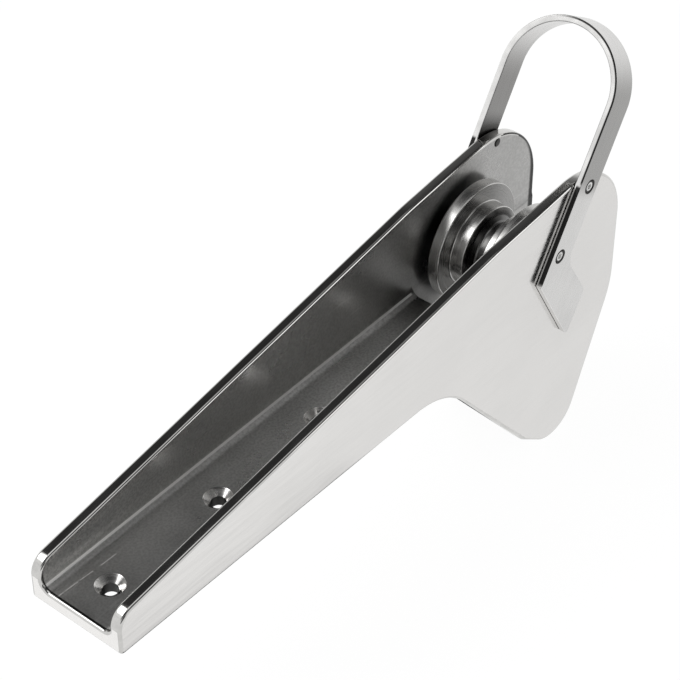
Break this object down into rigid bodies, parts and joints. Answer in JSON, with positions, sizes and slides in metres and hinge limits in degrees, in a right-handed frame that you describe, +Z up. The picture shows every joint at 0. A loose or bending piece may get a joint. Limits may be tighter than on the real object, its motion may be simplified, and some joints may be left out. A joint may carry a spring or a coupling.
{
  "type": "bow roller",
  "caption": "Flared stainless deck channel with beaked cheeks, a stepped roller turning on a pin between them and a leaning bail that keeps the anchor rode in place.",
  "frame": {"origin": "flat underside of the floor, on the centre line, half way along the floor", "axes": "+X forward over the roller, +Y to port, +Z up off the deck"},
  "size_m": [0.44, 0.0786, 0.2711],
  "materials": {
    "cast_steel": "mirror polished",
    "bar_steel": "polished flat bar",
    "turned_steel": "turned and polished",
    "fixing_steel": "polished",
    "bearing_resin": "machined"
  },
  "bodies": {
    "frame": {"channel": "cast_steel", "axle_pin": "fixing_steel", "spacer_port": "bearing_resin", "spacer_starboard": "bearing_resin", "bail": "bar_steel", "screw_upper_port": "fixing_steel", "screw_upper_starboard": "fixing_steel", "screw_lower_port": "fixing_steel", "screw_lower_starboard": "fixing_steel"},
    "roller": {"roller": "turned_steel", "bush_port": "bearing_resin", "bush_starboard": "bearing_resin"}
  },
  "joints": [
    {"name": "roller_spin", "type": "hinge", "parent": "frame", "child": "roller", "pos_m": [0.1995, 0, 0.028], "axis": [0, 1, 0], "continuous": true}
  ]
}
